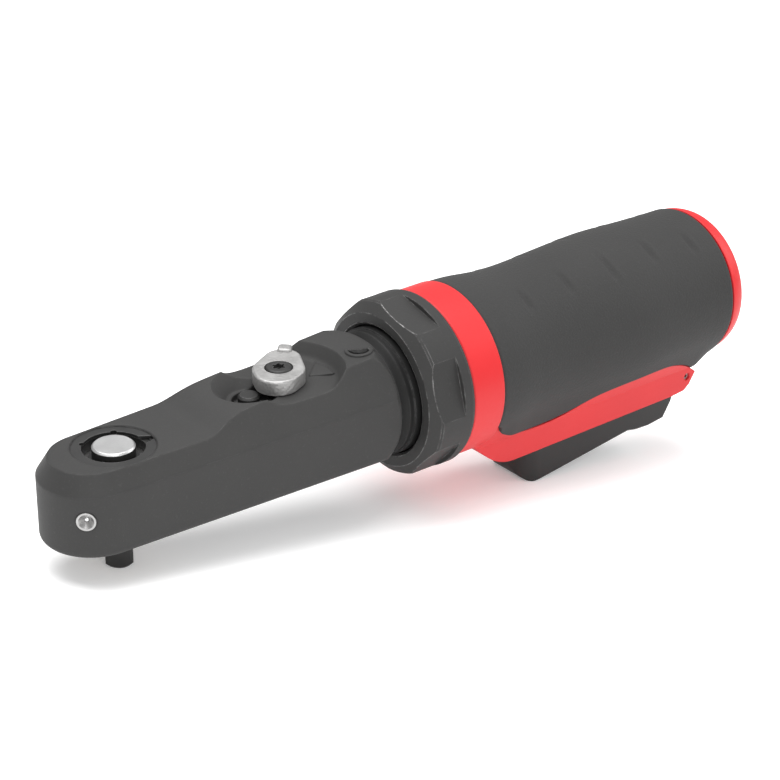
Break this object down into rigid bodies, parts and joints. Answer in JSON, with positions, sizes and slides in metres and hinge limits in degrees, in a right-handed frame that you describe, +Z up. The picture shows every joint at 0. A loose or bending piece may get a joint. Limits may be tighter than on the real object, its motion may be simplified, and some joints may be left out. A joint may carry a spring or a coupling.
{
  "type": "air ratchet",
  "caption": "Compact in-line pneumatic ratchet wrench with a quarter-inch square drive, reversing lever, clamp nut, rubber-sleeved motor case and paddle throttle.",
  "frame": {"origin": "where the square drive's axis crosses the tool's long axis, in the middle of the ratchet head", "axes": "+X from the ratchet head along the tool to the air inlet, +Z up out of the head's top face, away from the drive square, and +Y across the tool, on the side away from the grease fitting"},
  "size_m": [0.2026, 0.0442, 0.0597],
  "materials": {
    "head_coating": "matte dark grey coated casting",
    "black_oxide": "black oxide steel",
    "ground_steel": "ground bright steel",
    "cast_silver": "satin cast metal",
    "polished_steel": "polished",
    "spring_wire": "drawn spring wire",
    "bronze": "sintered bronze",
    "red_composite": "satin red",
    "grip_rubber": "fine-grained matte",
    "seal_rubber": "matte",
    "vane_resin": "cloth-filled resin",
    "felt": "felt",
    "lever_black": "fine-textured black"
  },
  "bodies": {
    "housing": {"ratchet_housing": "head_coating", "grease_fitting": "polished_steel", "grease_ball": "polished_steel", "thrust_washer": "ground_steel", "wave_spring": "black_oxide", "head_circlip": "black_oxide", "gear_bush": "bronze", "lever_screw": "black_oxide", "reverse_detent_ball": "polished_steel", "reverse_detent_spring": "spring_wire", "crank_bearing": "black_oxide", "ring_gear": "ground_steel", "motor_cylinder": "ground_steel", "clamp_nut": "head_coating", "gearcase_gasket": "seal_rubber", "motor_case": "red_composite", "grip_sleeve": "grip_rubber", "exhaust_cap": "red_composite", "muffler": "felt", "inlet_bushing": "ground_steel", "inlet_screen": "ground_steel", "valve_bushing": "bronze", "valve_plug": "bronze", "valve_oring": "seal_rubber", "valve_spring": "spring_wire", "lever_pin": "ground_steel", "front_bearing_outer": "ground_steel", "rear_bearing_outer": "ground_steel", "front_end_plate": "ground_steel", "rear_end_plate": "ground_steel"},
    "drive": {"ratchet_gear": "black_oxide", "drive_anvil": "black_oxide", "detent_spring": "spring_wire"},
    "detent_ball": {"detent_ball": "polished_steel"},
    "yoke": {"yoke": "black_oxide", "pawl_pin": "ground_steel", "pawl_spring": "spring_wire"},
    "pawl": {"pawl": "black_oxide"},
    "pawl_plunger": {"pawl_plunger": "ground_steel"},
    "selector": {"selector": "black_oxide"},
    "shift_plate": {"shift_plate": "black_oxide"},
    "reversing_lever": {"reversing_lever": "cast_silver"},
    "crank": {"crankshaft": "black_oxide", "planet_pins": "ground_steel"},
    "crank_bushing": {"crank_bushing": "ground_steel"},
    "planet_1": {"planet_gear_1": "ground_steel"},
    "planet_2": {"planet_gear_2": "ground_steel"},
    "planet_3": {"planet_gear_3": "ground_steel"},
    "rotor": {"rotor": "ground_steel", "rotor_vanes": "vane_resin", "front_bearing_inner": "ground_steel", "rear_bearing_inner": "ground_steel"},
    "bearing_balls": {"front_bearing_balls": "polished_steel", "rear_bearing_balls": "polished_steel"},
    "throttle_valve": {"throttle_valve": "ground_steel"},
    "throttle_lever": {"throttle_lever": "lever_black"}
  },
  "joints": [
    {"name": "drive_spin", "type": "hinge", "parent": "housing", "child": "drive", "pos_m": [0, 0, 0], "axis": [0, 0, 1], "continuous": true},
    {"name": "detent_ball_slide", "type": "slide", "parent": "drive", "child": "detent_ball", "axis": [-0.5446, -0.8387, 0], "range_m": [0, 0.0007], "stiffness_N_per_m": 1500, "springref_m": -0.001, "deforming": ["detent_spring"]},
    {"name": "yoke_swing", "type": "hinge", "parent": "housing", "child": "yoke", "pos_m": [0, 0, 0], "axis": [0, 0, 1], "range_deg": [-2.5, 2.5]},
    {"name": "pawl_flip", "type": "hinge", "parent": "yoke", "child": "pawl", "pos_m": [0.0109, 0, 0], "axis": [0, 0, 1], "range_deg": [-12, 0]},
    {"name": "pawl_plunger_slide", "type": "slide", "parent": "yoke", "child": "pawl_plunger", "axis": [1, 0, 0], "range_m": [0, 0.0003], "stiffness_N_per_m": 1500, "springref_m": -0.001, "deforming": ["pawl_spring"]},
    {"name": "reversing_lever_turn", "type": "hinge", "parent": "housing", "child": "reversing_lever", "pos_m": [0.046, 0, 0.0117], "axis": [0, 0, 1], "range_deg": [-90, 0]},
    {"name": "selector_turn", "type": "hinge", "parent": "housing", "child": "selector", "pos_m": [0.0373, 0, 0.009], "axis": [0, 0, 1], "range_deg": [0, 34.2]},
    {"name": "shift_plate_swing", "type": "hinge", "parent": "housing", "child": "shift_plate", "pos_m": [0, 0, 0.0045], "axis": [0, 0, 1], "range_deg": [-4.04, 0]},
    {"name": "rotor_spin", "type": "hinge", "parent": "housing", "child": "rotor", "pos_m": [0.108, 0, 0], "axis": [1, 0, 0], "continuous": true},
    {"name": "crank_spin", "type": "hinge", "parent": "housing", "child": "crank", "pos_m": [0.06, 0, 0], "axis": [1, 0, 0], "continuous": true},
    {"name": "crank_bushing_spin", "type": "hinge", "parent": "crank", "child": "crank_bushing", "pos_m": [0.027, 0, 0.0012], "axis": [1, 0, 0], "continuous": true},
    {"name": "planet_1_spin", "type": "hinge", "parent": "crank", "child": "planet_1", "pos_m": [0.0782, 0, 0.0075], "axis": [1, 0, 0], "continuous": true},
    {"name": "planet_2_spin", "type": "hinge", "parent": "crank", "child": "planet_2", "pos_m": [0.0782, -0.0065, -0.00375], "axis": [1, 0, 0], "continuous": true},
    {"name": "planet_3_spin", "type": "hinge", "parent": "crank", "child": "planet_3", "pos_m": [0.0782, 0.0065, -0.00375], "axis": [1, 0, 0], "continuous": true},
    {"name": "bearing_balls_spin", "type": "hinge", "parent": "housing", "child": "bearing_balls", "pos_m": [0.108, 0, 0], "axis": [1, 0, 0], "continuous": true},
    {"name": "throttle_lever_press", "type": "hinge", "parent": "housing", "child": "throttle_lever", "pos_m": [0.1676, 0, -0.0202], "axis": [0, 1, 0], "range_deg": [0, 5], "stiffness_Nm_per_rad": 1, "springref_deg": -22.92},
    {"name": "throttle_valve_lift", "type": "slide", "parent": "housing", "child": "throttle_valve", "axis": [0, 0, 1], "range_m": [0, 0.00172], "deforming": ["valve_spring"]}
  ],
  "couplings": [
    {"joint": "pawl_flip", "follows": "reversing_lever_turn", "ratio": 0.13333},
    {"joint": "selector_turn", "follows": "reversing_lever_turn", "ratio": -0.38},
    {"joint": "shift_plate_swing", "follows": "reversing_lever_turn", "ratio": 0.04489},
    {"joint": "crank_spin", "follows": "rotor_spin", "ratio": 0.25},
    {"joint": "crank_bushing_spin", "follows": "rotor_spin", "ratio": -0.25},
    {"joint": "planet_1_spin", "follows": "rotor_spin", "ratio": -0.75},
    {"joint": "planet_2_spin", "follows": "rotor_spin", "ratio": -0.75},
    {"joint": "planet_3_spin", "follows": "rotor_spin", "ratio": -0.75},
    {"joint": "bearing_balls_spin", "follows": "rotor_spin", "ratio": 0.4},
    {"joint": "throttle_valve_lift", "follows": "throttle_lever_press", "m_per_rad": 0.0196}
  ]
}
